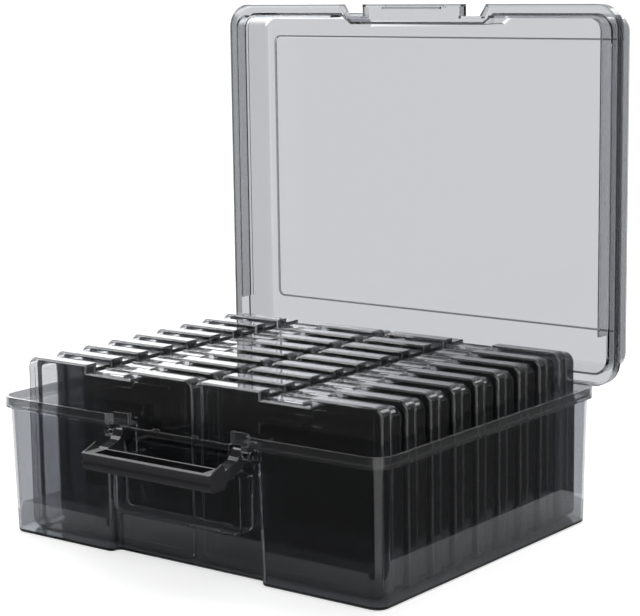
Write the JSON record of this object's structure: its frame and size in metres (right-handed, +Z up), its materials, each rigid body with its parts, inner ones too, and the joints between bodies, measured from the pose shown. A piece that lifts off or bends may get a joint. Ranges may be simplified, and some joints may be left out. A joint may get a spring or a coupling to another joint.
{
  "type": "photo keeper case",
  "caption": "Smoke-clear storage tub with a hinged domed lid, a swinging carrying handle and rows of lift-out inner photo cases standing on edge.",
  "frame": {"origin": "middle of the tub's underside", "axes": "the handle side faces -Y, +X is to the right seen from the front, +Z is up"},
  "size_m": [0.424, 0.4147, 0.4441],
  "materials": {
    "smoke_clear": "smoke-tinted clear polystyrene, polished",
    "case_clear": "smoke-tinted clear polystyrene, polished",
    "handle_black": "dark smoke plastic, glossy"
  },
  "bodies": {
    "tub": {"tub": "smoke_clear"},
    "lid": {"lid": "smoke_clear"},
    "handle": {"handle": "handle_black"},
    "case_01": {"case_01_tray": "case_clear", "case_01_cover": "case_clear"},
    "case_02": {"case_02_tray": "case_clear", "case_02_cover": "case_clear"},
    "case_03": {"case_03_tray": "case_clear", "case_03_cover": "case_clear"},
    "case_04": {"case_04_tray": "case_clear", "case_04_cover": "case_clear"},
    "case_05": {"case_05_tray": "case_clear", "case_05_cover": "case_clear"},
    "case_06": {"case_06_tray": "case_clear", "case_06_cover": "case_clear"},
    "case_07": {"case_07_tray": "case_clear", "case_07_cover": "case_clear"},
    "case_08": {"case_08_tray": "case_clear", "case_08_cover": "case_clear"},
    "case_09": {"case_09_tray": "case_clear", "case_09_cover": "case_clear"},
    "case_10": {"case_10_tray": "case_clear", "case_10_cover": "case_clear"},
    "case_11": {"case_11_tray": "case_clear", "case_11_cover": "case_clear"},
    "case_12": {"case_12_tray": "case_clear", "case_12_cover": "case_clear"},
    "case_13": {"case_13_tray": "case_clear", "case_13_cover": "case_clear"},
    "case_14": {"case_14_tray": "case_clear", "case_14_cover": "case_clear"},
    "case_15": {"case_15_tray": "case_clear", "case_15_cover": "case_clear"},
    "case_16": {"case_16_tray": "case_clear", "case_16_cover": "case_clear"},
    "case_17": {"case_17_tray": "case_clear", "case_17_cover": "case_clear"},
    "case_18": {"case_18_tray": "case_clear", "case_18_cover": "case_clear"}
  },
  "joints": [
    {"name": "lid_hinge", "type": "hinge", "parent": "tub", "child": "lid", "pos_m": [0, 0.1657, 0.1154], "axis": [-1, 0, 0], "range_deg": [-90, 0]},
    {"name": "handle_pivot", "type": "hinge", "parent": "tub", "child": "handle", "pos_m": [0, -0.1565, 0.105], "axis": [1, 0, 0], "range_deg": [-85, 0]},
    {"name": "case_01_lift", "type": "slide", "parent": "tub", "child": "case_01", "axis": [0, 0, 1], "range_m": [0, 0.16]},
    {"name": "case_02_lift", "type": "slide", "parent": "tub", "child": "case_02", "axis": [0, 0, 1], "range_m": [0, 0.16]},
    {"name": "case_03_lift", "type": "slide", "parent": "tub", "child": "case_03", "axis": [0, 0, 1], "range_m": [0, 0.16]},
    {"name": "case_04_lift", "type": "slide", "parent": "tub", "child": "case_04", "axis": [0, 0, 1], "range_m": [0, 0.16]},
    {"name": "case_05_lift", "type": "slide", "parent": "tub", "child": "case_05", "axis": [0, 0, 1], "range_m": [0, 0.16]},
    {"name": "case_06_lift", "type": "slide", "parent": "tub", "child": "case_06", "axis": [0, 0, 1], "range_m": [0, 0.16]},
    {"name": "case_07_lift", "type": "slide", "parent": "tub", "child": "case_07", "axis": [0, 0, 1], "range_m": [0, 0.16]},
    {"name": "case_08_lift", "type": "slide", "parent": "tub", "child": "case_08", "axis": [0, 0, 1], "range_m": [0, 0.16]},
    {"name": "case_09_lift", "type": "slide", "parent": "tub", "child": "case_09", "axis": [0, 0, 1], "range_m": [0, 0.16]},
    {"name": "case_10_lift", "type": "slide", "parent": "tub", "child": "case_10", "axis": [0, 0, 1], "range_m": [0, 0.16]},
    {"name": "case_11_lift", "type": "slide", "parent": "tub", "child": "case_11", "axis": [0, 0, 1], "range_m": [0, 0.16]},
    {"name": "case_12_lift", "type": "slide", "parent": "tub", "child": "case_12", "axis": [0, 0, 1], "range_m": [0, 0.16]},
    {"name": "case_13_lift", "type": "slide", "parent": "tub", "child": "case_13", "axis": [0, 0, 1], "range_m": [0, 0.16]},
    {"name": "case_14_lift", "type": "slide", "parent": "tub", "child": "case_14", "axis": [0, 0, 1], "range_m": [0, 0.16]},
    {"name": "case_15_lift", "type": "slide", "parent": "tub", "child": "case_15", "axis": [0, 0, 1], "range_m": [0, 0.16]},
    {"name": "case_16_lift", "type": "slide", "parent": "tub", "child": "case_16", "axis": [0, 0, 1], "range_m": [0, 0.16]},
    {"name": "case_17_lift", "type": "slide", "parent": "tub", "child": "case_17", "axis": [0, 0, 1], "range_m": [0, 0.16]},
    {"name": "case_18_lift", "type": "slide", "parent": "tub", "child": "case_18", "axis": [0, 0, 1], "range_m": [0, 0.16]}
  ]
}
